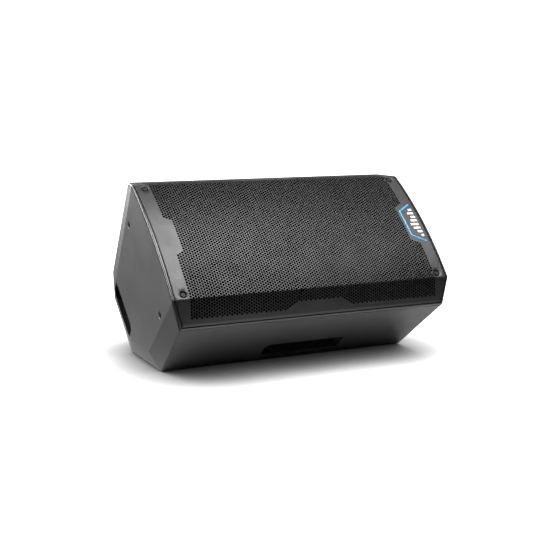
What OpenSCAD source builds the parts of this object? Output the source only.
// Active two-way stage monitor: a moulded trapezoid cabinet that lies on its
// angled side wall and throws sound up at the performer.
//
// Cabinet axes used while modelling: x runs along the cabinet, y up the front
// face, z out of the front face (0 at the two bend lines of the grille).
// v is -y, so it grows towards the floor side; depth is -z.
// place() tips the cabinet back onto its monitor face and sets it on the floor.

/* [Cabinet] */
// Length along the two front bend lines
body_l = 624; // [600:1:650]
// Width over the outer edges of the front bevels
body_w = 364; // [356:1:372]
// Depth from the bend lines to the rear face
body_d = 350; // [345:1:356]
// Distance from the middle of the front to each bend line
bend_v = 141; // [136:1:146]
// How far the middle of the front bulges past the bend lines
bulge = 11.4; // [6:0.2:14]
// Depth of the bevel's outer edge behind the bend line
bevel_d = 38.5; // [34:0.5:42]
// Angle the cabinet lies back at
lay_angle = 45; // [45:45]
// Wall thickness of the moulded shells
wall = 4.5; // [3.5:0.5:6]
// Thickness of the front lip that wraps over the rear shell
lip_t = 2.6; // [2:0.1:4]

/* [Grille] */
// Grille sheet thickness
grille_t = 1.2; // [1:0.1:2]
// Depth of the grille's outside below the lip
grille_drop = 0.8; // [0.4:0.1:1.4]
// Shadow gap between grille and lip
grille_gap = 1.8; // [1:0.1:2.5]
// Lip width at the cabinet's two ends
rim_end = 3.8; // [3:0.1:5]
// Distance of the grille screws from the middle, along the cabinet
grille_screw_x = 287.5; // [284:0.5:290]
// Distance of the grille screws from the middle, across the front
grille_screw_y = 129.8; // [126:0.2:132]

/* [Loudspeakers] */
// Level of the baffle's front face
baffle_z = -31; // [-33:0.5:-30]
// Woofer centre along the cabinet
woofer_x = 135; // [130:1:138]
// Woofer frame radius
woofer_r = 155; // [150:1:155]
// Horn centre along the cabinet
horn_x = -190; // [-191:1:-188]
// Horn throat bore radius
throat_r = 12.7; // [12.7:0.1:13]
// Port bore radius
port_r = 34; // [28:1:34]

/* [Hardware] */
// Pole socket bore radius
pole_r = 18; // [17.8:0.1:18.5]
// Depth of the pole socket bore
pole_len = 75; // [60:1:80]
// Tapping radius of the M8 suspension inserts
insert_r = 3.4; // [3.3:0.05:3.5]
// How far the rubber feet stand out
foot_h = 1.5; // [1:0.5:4]

/* [Hidden] */
$fn = 96;
eps = 0.01;
half_l = body_l / 2;
half_w = body_w / 2;
floor_sum = 374;     // v + depth everywhere on the monitor face
floor_h = floor_sum / sqrt(2) + foot_h;
end_slope = 0.087;   // end faces lean in towards the rear
edge_slope = 0.092;  // so do the outer long edges
edge_in = 13.5;      // corner cut at the bevel's outer edge
skirt_in = 1.9;      // inset of the baffle's skirt from the outer skin
// Section corners as [v, depth], from the floor side round the rear.
section = [
  [half_w, bevel_d],
  [163, floor_sum - 163],
  [floor_sum - body_d, body_d],
  [-117, body_d],
  [-157, 306],
  [-half_w, bevel_d]];
// Centre of the footprint once the cabinet is laid back
y_mid = ((section[3][1] - section[3][0]) - (section[0][0] - section[0][1])) / sqrt(2) / 2;

/* ---- general helpers ---- */
function unit(v) = v / norm(v);
function reversed(list) = [for (i = [len(list) - 1:-1:0]) list[i]];
// Direction of x from zero, or 0 within the limit.
function step(x, limit) = abs(x) > limit ? sign(x) : 0;
// Points moved away from a centre; coordinates within flat of it stay.
function spread(points, centre, flat, grow) = [for (p = points) let (c = p - centre)
  p + grow * [step(c[0], flat[0]), step(c[1], flat[1])]];
module at_z(z) translate([0, 0, z]) children();
module corners(x, y) for (i = [-1, 1], j = [-1, 1]) translate([i * x, j * y, 0]) children();
module ring(outer_r, inner_r, h) difference() {
  cylinder(r = outer_r, h = h);
  at_z(-1) cylinder(r = inner_r, h = h + 2);
}
// Round-cornered plate
module plate(x, y, r, h, facets = 48) linear_extrude(h) union() {
  square([x - 2 * r, y], center = true);
  square([x, y - 2 * r], center = true);
  corners(x / 2 - r, y / 2 - r) circle(r = r, $fn = facets);
}
// Screw with a hex recess, seated at z = 0.
module pan_screw(shank_r, length, head_r, head_h) {
  at_z(-length) cylinder(r = shank_r, h = length + eps);
  difference() {
    cylinder(r = head_r, h = head_h);
    at_z(head_h * 0.4) cylinder(r = shank_r * 0.62, h = head_h, $fn = 6);
  }
}

/* ---- cabinet form ---- */
module place() translate([0, -y_mid, floor_h]) rotate([lay_angle, 0, 0]) children();

// Section point [v, depth] with its x on the tapered long edge.
function edge_point(q) = [half_l - edge_in - edge_slope * (q[1] - bevel_d), -q[0], -q[1]];
function edge(i) = edge_point(section[i]);
function end_x(depth) = half_l - end_slope * depth;
function bow(v) = bulge * (1 - pow(v / bend_v, 2));

// Planes [normal, offset] and the common point of three.
function plane(a, b, c) = let (n = cross(b - a, c - a)) [n, n * a];
function meet(p, q, r) =
  (p[1] * cross(q[0], r[0]) + q[1] * cross(r[0], p[0]) + r[1] * cross(p[0], q[0]))
  / (p[0] * cross(q[0], r[0]));
bend_low = [half_l, -bend_v, 0];
bend_high = [half_l, bend_v, 0];
end_plane = plane(bend_low, bend_high, [end_x(100), 0, -100]);
// Corner cuts between the end face and the long walls
cuts = [
  plane(bend_low, edge(0), edge(1)),
  plane(edge(1), edge(2), [end_x(247), -79.5, -247]),
  plane(edge(2), edge(3), [end_x(297), 40, -297]),
  plane(edge(3), edge(4), [end_x(275), 119, -275]),
  plane(edge(4), edge(5), bend_high)];
end_corners = [for (i = [0:3]) meet(cuts[i], cuts[i + 1], end_plane)];

// Inward normal of a section side, and the shift that insets a corner by 1 mm.
function side_normal(i) = let (t = unit(section[(i + 1) % 6] - section[i])) [-t[1], t[0]];
function mitre(i) = let (n = side_normal((i + 5) % 6), m = n + side_normal(i)) m / (m * n);
function half_points(inset, front_inset) = concat(
  [for (i = [0:5]) let (
      front = i == 0 || i == 5,
      shift = i == 0 ? [-1, 0] : i == 5 ? [1, 0] : mitre(i))
    edge_point(section[i] + inset * shift) - [inset, 0, front ? front_inset : 0]],
  [for (p = end_corners) p - [1.05 * inset, 0, 0]],
  [for (i = [-8:8]) let (v = bend_v * i / 8)
    [end_x(-bow(v)) - inset, -v, bow(v) - front_inset]]);
// The whole cabinet block, moved inward all round.
module cabinet_form(inset, front_inset) {
  half = half_points(inset, front_inset);
  points = concat(half, [for (p = half) [-p[0], p[1], p[2]]]);
  // only the points matter to the hull
  hull() polyhedron(points = points, faces = [for (i = [1:len(points) - 2]) [0, i, i + 1]]);
}

// Front skin line, moved inward by off: arc between the bends, then the bevels.
bevel_dir = unit([half_w - bend_v, -bevel_d]);
bevel_out = [-bevel_dir[1], bevel_dir[0]];
bevel_len = norm([half_w - bend_v, bevel_d]);
function arc_normal(v) = unit([2 * bulge * v / (bend_v * bend_v), 1]);
function arc_point(v, off) = [v, bow(v)] - off * arc_normal(v);
function bend_point(off) =
  let (n = arc_normal(bend_v), m = n + bevel_out) [bend_v, 0] - off * m / (m * n);
function bevel_point(reach, off) = [bend_v, 0] + reach * bevel_dir - off * bevel_out;
function skin(off, reach) =
  let (half = concat([bevel_point(reach, off), bend_point(off)],
    [for (i = [11:-1:1]) arc_point(bend_v * i / 12, off)]))
  concat([for (p = half) [-p[0], p[1]]], [arc_point(0, off)], reversed(half));
// Prism along x from [v, z] points.
module profile(points, half) rotate([90, 0, 90]) at_z(-half) linear_extrude(2 * half)
  polygon([for (p = points) [-p[0], p[1]]]);
// Curved and bevelled sheet between two depths under the skin.
module sheet(outer_off, inner_off, reach, half)
  profile(concat(skin(outer_off, reach), reversed(skin(inner_off, reach))), half);
// Everything in front of the skin line at depth off.
module ahead(off) profile(concat(skin(off, bevel_len + 40),
  [[400, -30], [400, 90], [-400, 90], [-400, -30]]), 400);
// Prism over the outline of the grille seen from the front.
module outline(grow) {
  x1 = half_l - rim_end - grille_gap + grow;
  x2 = x1 - edge_in + 0.2;
  y2 = bend_v + bevel_dir[0] * (bevel_len - 5.5) + grow;
  at_z(-70) linear_extrude(110) polygon([[x1, -bend_v], [x1, bend_v], [x2, y2], [-x2, y2],
    [-x1, bend_v], [-x1, -bend_v], [-x2, -y2], [x2, -y2]]);
}

/* ---- places on the cabinet ---- */
screw_x = [-292, -110, -10, 110, 292];
screw_y = 171;
bolt_circle_r = 148;
port_x = -62;
port_y = 120;
insert_v = 111.7;
insert_d = 88.3;
insert_depth = 24;
pole_d = 198;
pole_face = end_x(pole_d + 34);
pole_flange_r = 33;
pole_tube_r = pole_r + 3;
pole_screw_r = 27;                 // pitch radius
foot_r = 10.2;
base_foot_r = 9.2;
feet_xy = [[-235, 58], [235, 58], [-225, 198], [225, 198]];
base_feet_vd = [[-88, 70], [88, 70], [-82, 215], [70, 215]];  // [v, depth]

// On an end face, z outward: side is 1 for the base end and -1 for the top end.
module on_end(side, v, depth) translate([side * end_x(depth), -v, -depth])
  rotate([0, side * (90 + atan(end_slope)), 0]) children();
// On the lower (1) or upper (-1) side wall: origin at the bevel's edge,
// y towards the front, z outward.
lower_a = 90 + atan((section[0][0] - section[1][0]) / (section[1][1] - section[0][1]));
upper_a = 90 + atan((section[4][0] - section[5][0]) / (section[4][1] - section[5][1]));
module on_side(k)
  if (k > 0) translate([0, -half_w, -bevel_d]) rotate([lower_a, 0, 0]) children();
  else mirror([0, 1, 0]) translate([0, -half_w, -bevel_d]) rotate([upper_a, 0, 0]) children();
// On the rear face: amplifier panel centre as origin, z outward, y reversed.
panel_x = 30;
panel_y = 46.5;
panel_l = 400;
panel_w = 118;
panel_t = 2.5;
module on_rear() translate([panel_x, panel_y, -body_d]) rotate([180, 0, 0]) children();
// Panel-shaped plate, reduced by trim in both directions.
module panel_plate(trim, h) plate(panel_l - trim, panel_w - trim, 4, h);
module panel_spots() {
  corners(panel_l / 2 - 6, panel_w / 2 - 6) children();
  corners(66, panel_w / 2 - 6) children();
}
module grille_screw_spots() corners(grille_screw_x, grille_screw_y) children();
module baffle_screw_spots()
  for (x = screw_x, j = [-1, 1]) translate([x, j * screw_y, 0]) children();
module woofer_bolts()
  for (a = [22.5:45:337.5]) rotate(a) translate([bolt_circle_r, 0, 0]) children();
module horn_screw_spots() corners(79, 140) children();
module port_spots() for (j = [-1, 1]) translate([port_x, j * port_y, 0]) children();
module insert_spots()
  for (side = [-1, 1], v = [-insert_v, insert_v]) on_end(side, v, insert_d) children();
module at_pole() translate([pole_face, 0, -pole_d]) rotate([0, 90, 0]) children();
module pole_screw_spots()
  for (a = [45:90:315]) rotate(a) translate([pole_screw_r, 0, 0]) children();
module base_foot_spots() for (q = base_feet_vd) on_end(1, q[0], q[1]) children();
module foot_spots() for (q = feet_xy) translate([q[0], q[1] - y_mid, 0]) children();

/* ---- handle hollows ---- */
cup_t = 3;
// Hand opening of the end handle as [v, depth].
grip = [[-101, 272], [4, 271], [15.5, 278], [16.5, 297],
  [5, 313], [-45, 317], [-96, 316], [-106.5, 299]];
// Runs out through the top end.
module grip_prism(grow) translate([grow - 223, 0, 0]) rotate([90, 0, -90])
  linear_extrude(107 + grow)
    polygon([for (p = spread(grip, [-45, 295], [20, 8], grow)) [p[0], -p[1]]]);
// Side handle pocket: opening on the wall and a smaller, deeper floor, as [x, y].
pocket_depth = 37;
pocket_mouth = [[-66, 16], [88, 16], [94, 4], [87, -22], [-70, -22], [-73, 4]];
pocket_floor = [[-56, 11], [78, 11], [82, 3], [77, -17], [-60, -17], [-62, 3]];
module pocket(grow) {
  hull() {
    translate([0, -125, -0.6]) linear_extrude(2.6)
      polygon(spread(pocket_mouth, [0, 0], [0, 5], grow));
    translate([0, -127, -pocket_depth - grow]) linear_extrude(1)
      polygon(spread(pocket_floor, [0, 0], [0, 5], grow));
  }
  // ramp for the fingertips at one end
  translate([0, -111 + grow - 0.6, 0]) rotate([90, 0, 0]) linear_extrude(33 + 2 * grow)
    polygon([[70, 2], [106 + grow, 2], [106 + grow, -0.4], [90 + grow, -9 - grow],
      [70, -9 - grow]]);
}

/* ---- shells ---- */
module rear_shell() color("dimgray") difference() {
  place() difference() {
    cabinet_form(0, 0);
    difference() {
      cabinet_form(wall, 1);
      // bosses that stay inside the hollow
      insert_spots() at_z(-26) cylinder(r = 12, h = 40);
      baffle_screw_spots() at_z(-65.2) cube([14, 16, 36], center = true);
      at_pole() at_z(-14) cylinder(r = 40, h = 40);
      on_rear() at_z(-wall - 8) difference() {
        panel_plate(0, 12);
        at_z(-1) panel_plate(24, 14);
      }
    }
    // room for the front lip and its skirt
    ahead(lip_t + 0.4);
    intersection() {
      cabinet_form(skirt_in - 0.2, 1);
      ahead(10.4);
    }
    insert_spots() at_z(-insert_depth) cylinder(r = 7, h = 40);
    baffle_screw_spots() at_z(-70) cylinder(r = 1.7, h = 60);
    at_pole() {
      at_z(-3) cylinder(r = pole_flange_r, h = 60);
      at_z(-60) cylinder(r = pole_tube_r, h = 90);
      pole_screw_spots() at_z(-13) cylinder(r = 2, h = 20);
    }
    grip_prism(cup_t);
    for (k = [-1, 1]) on_side(k) pocket(cup_t);
    on_rear() at_z(-20) panel_plate(20, 40);
    on_rear() panel_spots() at_z(-11) cylinder(r = 1.9, h = 30);
    base_foot_spots() at_z(-2) cylinder(r = base_foot_r, h = 10);
  }
  foot_spots() at_z(-1) cylinder(r = foot_r, h = 1 + foot_h + 2);
}

module front_baffle() color([0.2, 0.2, 0.21]) place() difference() {
  // lip, inner body and skirt
  union() {
    intersection() {
      cabinet_form(0, 0);
      ahead(lip_t);
    }
    intersection() {
      cabinet_form(wall + 0.4, 1);
      translate([-400, -400, -47]) cube([800, 800, 100]);
    }
    intersection() {
      cabinet_form(skirt_in, 1);
      ahead(10);
    }
  }
  // bed of the grille, then the deep well round the loudspeakers
  difference() {
    intersection() {
      ahead(8);
      outline(grille_gap);
    }
    grille_screw_spots() at_z(-60) cylinder(r = 8, h = 70);
  }
  difference() {
    translate([-296, -160, baffle_z]) cube([592, 320, 60]);
    grille_screw_spots() at_z(-60) cylinder(r = 8, h = 59);
    baffle_screw_spots() at_z(-60) cylinder(r = 8, h = 60);
  }
  grille_screw_spots() {
    at_z(-24) cylinder(r = 2, h = 60);
    at_z(-2.6) cylinder(r = 12, h = 60);
  }
  // under side hollowed to a plate
  difference() {
    translate([-285, -152, -80]) cube([570, 304, 80 + baffle_z - 5]);
    corners(285, grille_screw_y) at_z(-60) cylinder(r = 13, h = 40);
  }
  translate([woofer_x, 0, 0]) {
    at_z(-80) cylinder(r = 142, h = 80);
    woofer_bolts() at_z(-60) cylinder(r = 2.2, h = 60);
  }
  translate([horn_x, 0, 0]) {
    at_z(-80) plate(148, 276, 8, 80);
    horn_screw_spots() at_z(-60) cylinder(r = 1.9, h = 60);
  }
  port_spots() at_z(-80) cylinder(r = port_r + 2.5, h = 80);
  baffle_screw_spots() {
    at_z(-70) cylinder(r = 2.2, h = 60);
    at_z(-37) cylinder(r = 4.4, h = 60);
  }
}
// Foam cord in the joint between the two shells
module shell_gasket() color([0.08, 0.08, 0.08]) place() difference() {
  intersection() {
    cabinet_form(0.3, 0);
    sheet(lip_t + 0.02, lip_t + 0.38, bevel_len + 20, 400);
  }
  cabinet_form(1.6, 1);
}

/* ---- grille ---- */
module grille() color([0.16, 0.16, 0.17]) place() difference() {
  union() {
    difference() {
      intersection() {
        sheet(grille_drop, grille_drop + grille_t, bevel_len, 330);
        outline(0);
      }
      grille_screw_spots() at_z(-20) cylinder(r = 7, h = 40);
    }
    // screw cups
    grille_screw_spots() at_z(-2.6) ring(7.2, 2.3, 4.2);
  }
  grille_screw_spots() at_z(-1.8) cylinder(r = 6.4, h = 10);
}
module grille_foam() color([0.05, 0.05, 0.05]) place() difference() {
  intersection() {
    sheet(grille_drop + grille_t + 0.1, 7.4, bevel_len, 299);
    outline(-6);
  }
  grille_screw_spots() at_z(-60) cylinder(r = 13.5, h = 90);
  baffle_screw_spots() at_z(-80) cylinder(r = 6, h = 90);
}
module grille_screws() color([0.1, 0.1, 0.1]) place()
  grille_screw_spots() at_z(-1.8) pan_screw(2, 20, 4.2, 2.4);
// Thin layer on the grille's outside in the shape of 2D children.
module painted() place() intersection() {
  sheet(grille_drop - 0.5, grille_drop, bevel_len, 330);
  at_z(-20) linear_extrude(60) children();
}
// Open bracket of three straight strokes beside the base end, as [x, y].
bracket = [[296.8, 50.3], [265.5, 32.5], [265.5, -32.5], [296.8, -50.3]];
stroke_w = 2.6;
module stroke(a, b) translate([a[0], a[1]]) rotate(atan2(b[1] - a[1], b[0] - a[0]))
  translate([0, -stroke_w / 2]) square([norm(b - a), stroke_w]);
module accent_strip() color([0.2, 0.66, 0.95]) painted() union() {
  for (i = [0:2]) stroke(bracket[i], bracket[i + 1]);
  for (i = [1, 2]) translate(bracket[i]) circle(r = stroke_w / 2, $fn = 32);
}
// Generic level-meter bars, by length
bars = [7, 12, 17, 20, 16, 11, 15, 9];
bar_w = 6;
bar_pitch = 10;
module badge_mark() color("white") painted() for (i = [0:len(bars) - 1])
  translate([297 - bars[i], -38.5 + bar_pitch * i]) square([bars[i], bar_w]);
module baffle_screws() color([0.3, 0.3, 0.3]) place() baffle_screw_spots() at_z(-37) {
  at_z(-30) cylinder(r = 1.7, h = 30);
  difference() {
    cylinder(r = 4, h = 2.4);
    at_z(1) cylinder(r = 1.4, h = 3, $fn = 6);
  }
}

/* ---- woofer, z measured from the baffle's front face ---- */
gasket_z = 4;                       // front of the frame's rim
coil_r = 25.4;
woofer_plate_z = -100;              // rear of the top plate
woofer_magnet_z = woofer_plate_z - 20;
module at_woofer() place() translate([woofer_x, 0, baffle_z]) children();
module woofer_basket() color([0.12, 0.12, 0.12]) at_woofer() difference() {
  rotate_extrude() polygon([
    [woofer_r, 0], [woofer_r, gasket_z], [139, gasket_z], [137, -8], [86, -80], [70, -84],
    [70, -70], [62, -70], [62, -88], [30, -88], [30, -92], [90, -92], [90, -84],
    [141, -10], [141, 0]]);
  for (i = [0:7]) rotate(i * 45) translate([88, 0, -46]) rotate([0, 35, 0])
    cube([60, 44, 52], center = true);
  woofer_bolts() at_z(-10) cylinder(r = 2.7, h = 30);
}
module woofer_gasket() color([0.06, 0.06, 0.06]) at_woofer() difference() {
  at_z(gasket_z) ring(woofer_r - 0.5, 145, 3);
  woofer_bolts() cylinder(r = 6, h = 30);
}
module woofer_screws() color([0.15, 0.15, 0.15]) at_woofer()
  woofer_bolts() at_z(gasket_z) pan_screw(2.2, 14, 4.6, 2.6);
module woofer_surround() color([0.05, 0.05, 0.05]) at_woofer() rotate_extrude()
  polygon(concat(
    [[143.2, 4], [143.2, 4.8], [141.8, 4.8]],
    [for (a = [0:15:180]) [131 + 10 * cos(a), 4.8 + 10 * sin(a)]],
    [[116, 4.8], [116, 4]],
    [for (a = [180:-15:0]) [131 + 9.2 * cos(a), 4 + 10 * sin(a)]]));
function cone_z(r) = 3 - 61 * pow((116 - r) / 90, 1.12);
cone_radii = [for (i = [0:9]) 116 - 10 * i];
module woofer_cone() color([0.09, 0.09, 0.09]) at_woofer() rotate_extrude()
  polygon(concat(
    [[121.5, 4], [121.5, 3]],
    [for (r = cone_radii) [r, cone_z(r)]],
    [[coil_r, -58.6]],
    [for (r = reversed(cone_radii)) [r, cone_z(r) + 1.1]],
    [[115, 4]]));
cap_r = 42;
module woofer_dust_cap() color([0.07, 0.07, 0.07]) at_woofer()
  at_z(cone_z(cap_r) + 1.25 - 62.1) difference() {
    intersection() {
      sphere(r = 75, $fn = 128);
      at_z(50) cylinder(r = cap_r, h = 40);
    }
    sphere(r = 74.2, $fn = 128);
  }
spider_radii = [for (i = [0:44]) 25.9 + i];
function spider_wave(r) = r > 31 && r < 61 ? 1.6 * sin((r - 31) * 60) : 0;
module woofer_spider() color([0.75, 0.5, 0.25]) at_woofer() rotate_extrude()
  polygon(concat(
    [for (r = spider_radii) [r, -69.5 + spider_wave(r)]],
    [for (r = reversed(spider_radii)) [r, -70 + spider_wave(r)]]));
// Former, winding and a collar at the spider
module woofer_voice_coil() color([0.72, 0.42, 0.2]) at_woofer() {
  at_z(-105) ring(coil_r, 25, 46.4);
  at_z(-104) ring(26.3, 25.3, 14);
  at_z(-71.2) ring(25.9, 25.3, 3);
}
module woofer_top_plate() color("silver") at_woofer() at_z(woofer_plate_z) ring(62, 27.2, 8);
module woofer_magnet() color([0.25, 0.25, 0.26]) at_woofer()
  at_z(woofer_magnet_z) ring(78, 45, 20);
module woofer_yoke() color("silver") at_woofer() difference() {
  union() {
    at_z(woofer_magnet_z - 10) cylinder(r = 75, h = 10);
    at_z(woofer_magnet_z - 1) cylinder(r = 24.2, h = 29);
  }
  at_z(-140) cylinder(r = 8, h = 60);
}
module woofer_terminals() color([0.85, 0.7, 0.3]) at_woofer()
  for (y = [-6, 6]) translate([-96, y, -90]) {
    translate([-4, -3, 6]) cube([9.2, 6, 1.2]);
    translate([-10, -3, -6]) cube([0.9, 6, 13.2]);
    translate([-10, -3, 6]) cube([8, 6, 1.2]);
  }

/* ---- horn and compression driver, z from the baffle's front face ---- */
throat_z = -92;
driver_z = throat_z - 5;             // rear of the horn's flange
driver_magnet_front = driver_z - 6;
driver_plate_front = driver_magnet_front - 14;
driver_plate_rear = driver_plate_front - 5;
// Flare sections from mouth to throat: [x size, y size, z]
horn_sections = [[140, 268, 4], [102, 176, -30], [62, 88, -62]];
module at_horn() place() translate([horn_x, 0, baffle_z]) children();
module horn_slice(k, grow) {
  size = horn_sections[k];
  at_z(size[2]) plate(size[0] + grow, size[1] + grow, 8, 0.2, facets = 24);
}
module horn_flare(grow) for (k = [0:1]) hull() {
  horn_slice(k, grow);
  horn_slice(k + 1, grow);
}
// Last part of the flare, ending round
module throat(grow, r, h) hull() {
  horn_slice(2, grow);
  at_z(throat_z) cylinder(r = r, h = h, $fn = 32);
}
module horn_waveguide() color([0.07, 0.07, 0.07]) at_horn() difference() {
  union() {
    plate(172, 294, 10, 4);
    intersection() {
      horn_flare(7);
      translate([-150, -150, -70]) cube([300, 300, 73]);
    }
    throat(7, 20, 1);
    at_z(driver_z) cylinder(r = 44, h = 5);
  }
  at_z(0.05) horn_flare(0);
  throat(0, throat_r, 0.5);
  at_z(-100) cylinder(r = throat_r, h = 9);
  horn_screw_spots() at_z(-10) cylinder(r = 2.2, h = 30);
}
module horn_screws() color([0.15, 0.15, 0.15]) at_horn()
  horn_screw_spots() at_z(4) pan_screw(1.9, 16, 3.8, 2.2);
module driver_yoke() color("silver") at_horn() difference() {
  union() {
    at_z(driver_magnet_front) cylinder(r = 44, h = 6);
    at_z(-124) cylinder(r = 17.4, h = 22);
  }
  at_z(-130) cylinder(r = throat_r, h = 40);
}
module driver_magnet() color([0.25, 0.25, 0.26]) at_horn()
  at_z(driver_plate_front) ring(47, 26, 14);
module driver_top_plate() color("silver") at_horn() at_z(driver_plate_rear) ring(44, 19, 5);
// Dome that bulges to the rear, its rim and its coil
function dome_z(r, rim_r) = -7 * sqrt(1 - pow(r / rim_r, 2));
module hf_diaphragm() color([0.8, 0.8, 0.82]) at_horn() {
  at_z(-122.8) ring(18.5, 18, 4.5);
  rotate_extrude() polygon(concat(
    [[24, -122.8], [24, -122.5], [18, -122.5]],
    [for (i = [9:-1:0]) let (r = 1.9 * i) [r, -124.9 + dome_z(r, 18)]],
    [for (i = [0:9]) let (r = 1.95 * i) [r, -125.2 + dome_z(r, 18.2)]],
    [[18.4, -122.8]]));
}
module driver_rear_cover() color([0.1, 0.1, 0.1]) at_horn() difference() {
  at_z(driver_plate_rear - 24) cylinder(r = 46, h = 24);
  at_z(driver_plate_rear - 21) cylinder(r = 42, h = 30);
}
// Bass-reflex tubes with a flared mouth
module port_tubes() color([0.09, 0.09, 0.09]) place() port_spots() at_z(baffle_z)
  rotate_extrude() polygon(concat(
    [[port_r + 5, 0], [port_r + 5, 1.5], [port_r + 4, 1.5]],
    [for (a = [15:15:75]) [port_r + 4 - 4 * sin(a), 1.5 - 6 * (1 - cos(a))]],
    [[port_r, -4.5], [port_r, -98], [port_r + 2.5, -98], [port_r + 2.5, 0]]));

/* ---- handles, inserts, feet ---- */
module end_handle_cup() color([0.04, 0.04, 0.04]) place() difference() {
  intersection() {
    cabinet_form(0, 0);
    grip_prism(cup_t);
  }
  grip_prism(0);
}
module side_handle_cups() color([0.04, 0.04, 0.04]) place()
  for (k = [-1, 1]) on_side(k) difference() {
    pocket(cup_t);
    pocket(0);
    translate([-150, -200, 0]) cube([300, 150, 10]);
  }
module suspension_inserts() color([0.5, 0.45, 0.3]) place() insert_spots() difference() {
  at_z(-insert_depth) cylinder(r = 7, h = 22.5);
  at_z(-22) cylinder(r = insert_r, h = 40);
}
module pole_socket() color([0.1, 0.1, 0.1]) place() at_pole() difference() {
  union() {
    at_z(-3) cylinder(r = pole_flange_r, h = 3);
    at_z(-pole_len - 4) cylinder(r = pole_tube_r, h = pole_len + 3);
  }
  at_z(-pole_len) cylinder(r = pole_r, h = pole_len + 10);
  pole_screw_spots() at_z(-10) cylinder(r = 2.2, h = 20);
}
module pole_socket_screws() color([0.3, 0.3, 0.3]) place()
  at_pole() pole_screw_spots() pan_screw(2, 12, 3.8, 2);
module base_feet() color([0.03, 0.03, 0.03]) place() base_foot_spots() at_z(-2) {
  cylinder(r = base_foot_r, h = 3);
  cylinder(r = 8, h = 4.4);
}
module wedge_feet() color([0.03, 0.03, 0.03]) foot_spots() cylinder(r = foot_r, h = foot_h + 2);
// Wadding sheets against the side walls
module acoustic_lining() color([0.75, 0.75, 0.7]) place()
  for (k = [-1, 1]) on_side(k)
    for (x = [-262, 122]) translate([x, -150, -wall - 13]) cube([140, 96, 12]);

/* ---- amplifier module on the rear face, z outward from the face ---- */
gasket_t = 1;
panel_top = gasket_t + panel_t;
jack_x = -72;
knob_x = -28;
link_x = 10;
channel_y = 27;                      // jacks and gain knobs, either side of the middle
display_x = -160;
encoder_x = -116;
encoder_y = 22;                      // encoder at -y, menu button at +y
inlet_x = 172;
inlet_y = -25;
rocker_y = 26;
sink_x = 93;
board_rear = -25.6;                  // component side of the board
shaft_r = 3;
module at_panel(x = 0, y = 0, z = 0) place() on_rear() translate([x, y, z]) children();
module sink_spots() corners(33, 36) children();
module amp_gasket() color([0.06, 0.06, 0.06]) at_panel() difference() {
  panel_plate(0, gasket_t);
  at_z(-1) panel_plate(20, 4);
  panel_spots() at_z(-2) cylinder(r = 2.2, h = 6);
}
module amp_panel() color([0.14, 0.14, 0.15]) at_panel() difference() {
  at_z(gasket_t) panel_plate(0, panel_t);
  panel_spots() cylinder(r = 2.2, h = 10);
  for (y = [-channel_y, channel_y]) {
    translate([jack_x, y, 0]) cylinder(r = 12, h = 10);
    translate([knob_x, y, 0]) cylinder(r = 3.6, h = 10);
  }
  translate([link_x, 0, 0]) cylinder(r = 12, h = 10);
  translate([display_x, 0, -1]) plate(48, 34, 2, 10);
  translate([encoder_x, -encoder_y, 0]) cylinder(r = 3.6, h = 10);
  translate([encoder_x, encoder_y, 0]) cylinder(r = 4.1, h = 10);
  translate([inlet_x - 10, inlet_y - 14, 0]) cube([20, 28, 10]);
  translate([inlet_x - 6.6, rocker_y - 13.6, 0]) cube([13.2, 27.2, 10]);
  translate([sink_x, 0, 0]) sink_spots() cylinder(r = 1.7, h = 10);
}
module amp_panel_screws() color([0.2, 0.2, 0.2]) at_panel()
  panel_spots() at_z(panel_top) pan_screw(1.9, 13, 3.6, 2);
module heatsink() color([0.1, 0.1, 0.1]) at_panel(sink_x, 0, panel_top) difference() {
  union() {
    translate([-48, -44, 0]) cube([96, 88, 3]);
    for (i = [0:10]) translate([-48, -44 + i * 8.6, 2.9]) cube([96, 2, 9]);
  }
  sink_spots() at_z(-1) cylinder(r = 1.7, h = 5);
}
module board_spacers() color("silver") at_panel(sink_x, 0, -24)
  sink_spots() cylinder(r = 3.5, h = 25);
module amp_board() color([0.05, 0.3, 0.12]) at_panel()
  translate([-40, -44, board_rear]) cube([222, 88, 1.6]);
module amp_capacitors() color([0.12, 0.12, 0.3]) at_panel() {
  for (i = [0:3]) translate([-20 + 24 * i, -20, board_rear - 35]) cylinder(r = 10, h = 35);
  for (i = [0:2]) translate([-20 + 18 * i, 18, board_rear - 22]) cylinder(r = 7, h = 22);
}
module power_transformer() color([0.75, 0.6, 0.2]) at_panel() {
  translate([120, -36, board_rear - 36]) cube([44, 50, 36]);
  translate([126, -38, -56]) cube([32, 54, 24]);
}
module display_window() color([0.05, 0.08, 0.1]) at_panel(display_x) {
  at_z(2.5) plate(48, 34, 2, 1.6);
  translate([-26, -19, -4.2]) cube([52, 38, 5.2]);
  translate([-22, -15, 0.9]) cube([44, 30, 1.7]);
}
// Jack shell; latched ones have a slot for the latch tab.
module jack_block(latched) difference() {
  union() {
    at_z(panel_top) plate(31, 26, 3, 2);
    at_z(-18) cylinder(r = 11.8, h = 22);
  }
  at_z(-14) cylinder(r = 9.2, h = 40);
  if (latched) translate([8, -3.2, 1]) cube([3.6, 6.4, 10]);
}
module contact_spots() for (a = [90, 210, 330]) rotate(a) translate([5.2, 0, 0]) children();
module jack_core() at_z(-14 - eps) difference() {
  cylinder(r = 7.6, h = 15);
  at_z(2) cylinder(r = 3.2, h = 40);
  contact_spots() at_z(4) cylinder(r = 1.3, h = 40);
}
module input_jacks() color([0.12, 0.12, 0.12])
  for (y = [-channel_y, channel_y]) at_panel(jack_x, y) {
    jack_block(true);
    jack_core();
  }
module latch_tab(y) color([0.75, 0.1, 0.1]) at_panel(jack_x, y, 2.6)
  translate([9.35, -3, 0]) cube([2.05, 6, 4]);
module latch_tab_1() latch_tab(-channel_y);
module latch_tab_2() latch_tab(channel_y);
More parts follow.
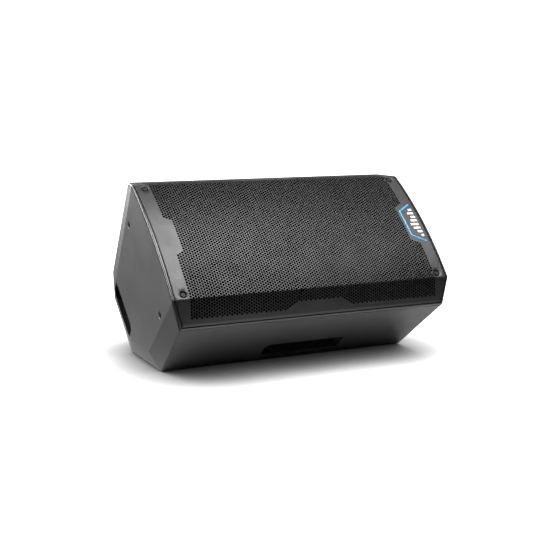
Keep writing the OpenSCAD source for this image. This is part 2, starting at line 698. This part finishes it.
module link_jack() color([0.12, 0.12, 0.12]) at_panel(link_x) {
  jack_block(false);
  contact_spots() at_z(-14 - eps) cylinder(r = 1.2, h = 13);
}
// Potentiometer body; its shaft is part of the knob.
module pot() difference() {
  union() {
    at_z(-11) cylinder(r = 8.5, h = 11);
    cylinder(r = 3.5, h = 7);
  }
  at_z(-8) cylinder(r = shaft_r + 0.05, h = 30);
}
module gain_pots() color([0.35, 0.35, 0.37])
  for (y = [-channel_y, channel_y]) at_panel(knob_x, y) pot();
module flutes(count, pitch_r, h) for (i = [0:count - 1]) rotate(i * 360 / count)
  translate([pitch_r, 0, 6]) cylinder(r = 0.8, h = h, $fn = 16);
knob_r = 8;
module gain_knob(y) color([0.08, 0.08, 0.08]) at_panel(knob_x, y) difference() {
  union() {
    at_z(7.5) cylinder(r = knob_r, h = 9);
    at_z(16.5 - eps) cylinder(r1 = knob_r, r2 = knob_r - 1.2, h = 2, $fn = 64);
    cylinder(r = shaft_r, h = 9);
    at_z(-7.5) cylinder(r = shaft_r, h = 8);
  }
  flutes(18, knob_r + 0.45, 19);
  // pointer groove
  translate([knob_r * 0.35, -0.6, 17.7]) cube([knob_r, 1.2, 4]);
}
module gain_knob_1() gain_knob(-channel_y);
module gain_knob_2() gain_knob(channel_y);
module encoder_housing() color([0.35, 0.35, 0.37]) at_panel(encoder_x, -encoder_y) difference() {
  pot();
  at_z(-9.6) cylinder(r = 5, h = 3.8);
}
module encoder_plunger() color([0.8, 0.8, 0.8]) at_panel(encoder_x, -encoder_y, -8.7)
  cylinder(r = 4.6, h = 1);
module encoder_knob() color([0.08, 0.08, 0.08]) at_panel(encoder_x, -encoder_y) difference() {
  union() {
    at_z(8.2) cylinder(r = 9, h = 11);
    at_z(-7.5) cylinder(r = shaft_r, h = 17);
  }
  flutes(24, 9.4, 20);
}
module menu_button() color([0.5, 0.5, 0.5]) at_panel(encoder_x, encoder_y) {
  at_z(-3) cylinder(r = 4, h = 9);
  at_z(-5) cylinder(r = 5.5, h = 3);
}
module mains_inlet() color([0.08, 0.08, 0.08]) at_panel(inlet_x, inlet_y) difference() {
  union() {
    translate([0, 25.5, panel_top]) plate(26, 85, 3, 2);
    translate([-9.9, -13.9, -19]) cube([19.8, 27.8, 22.6]);
    translate([-6.5, 37.5, -16]) cube([13, 27, 20]);
  }
  // rocker well, then the inlet cavity with its three blades left standing
  translate([-5.6, 38.8, -14]) cube([11.2, 24.4, 40]);
  difference() {
    translate([-8, -12, -15]) cube([16, 24, 40]);
    for (q = [[3, -7], [3, 7], [-3.5, 0]]) translate([q[0] - 1, q[1] - 2, -16]) cube([2, 4, 15]);
  }
}
module power_rocker() color([0.6, 0.05, 0.05]) at_panel(inlet_x, rocker_y, 2) intersection() {
  translate([-5.4, -12, -14]) cube([10.8, 24, 24]);
  rotate([0, 90, 0]) at_z(-5.4) difference() {
    cylinder(r = 12, h = 10.8);
    translate([-22.6, 0, -1]) cylinder(r = 17.4, h = 14);
    translate([2, -20, -1]) cube([30, 40, 14]);
  }
}
// Loudspeaker leads from the board, as [x, y, z] stations
cable_r = 2.2;
woofer_lead = [[-3, 46, -324.4], [-3, 46, -300], [-6, 48, -240], [20, 20, -200], [28, 6, -130]];
driver_lead = [[-4, 58, -324.4], [-4, 58, -305], [-50, 62, -250], [-130, 40, -205],
  [-165, 28, -180]];
module lead(points) for (i = [0:len(points) - 2]) {
  run = points[i + 1] - points[i];
  translate(points[i]) rotate([0, acos(run[2] / norm(run)), atan2(run[1], run[0])])
    cylinder(r = cable_r, h = norm(run), $fn = 24);
  translate(points[i + 1]) sphere(r = cable_r * 1.08, $fn = 24);
}
module speaker_cables() color([0.5, 0.08, 0.08]) place() {
  lead(woofer_lead);
  lead(driver_lead);
}

rear_shell();
front_baffle();
shell_gasket();
grille();
grille_foam();
grille_screws();
accent_strip();
badge_mark();
baffle_screws();
woofer_basket();
woofer_gasket();
woofer_surround();
woofer_cone();
woofer_dust_cap();
woofer_spider();
woofer_voice_coil();
woofer_top_plate();
woofer_magnet();
woofer_yoke();
woofer_terminals();
woofer_screws();
horn_waveguide();
horn_screws();
driver_yoke();
driver_magnet();
driver_top_plate();
hf_diaphragm();
driver_rear_cover();
port_tubes();
end_handle_cup();
side_handle_cups();
suspension_inserts();
pole_socket();
pole_socket_screws();
base_feet();
wedge_feet();
acoustic_lining();
amp_gasket();
amp_panel();
amp_panel_screws();
heatsink();
amp_board();
amp_capacitors();
power_transformer();
board_spacers();
display_window();
input_jacks();
latch_tab_1();
latch_tab_2();
link_jack();
gain_pots();
gain_knob_1();
gain_knob_2();
encoder_housing();
encoder_plunger();
encoder_knob();
menu_button();
mains_inlet();
power_rocker();
speaker_cables();
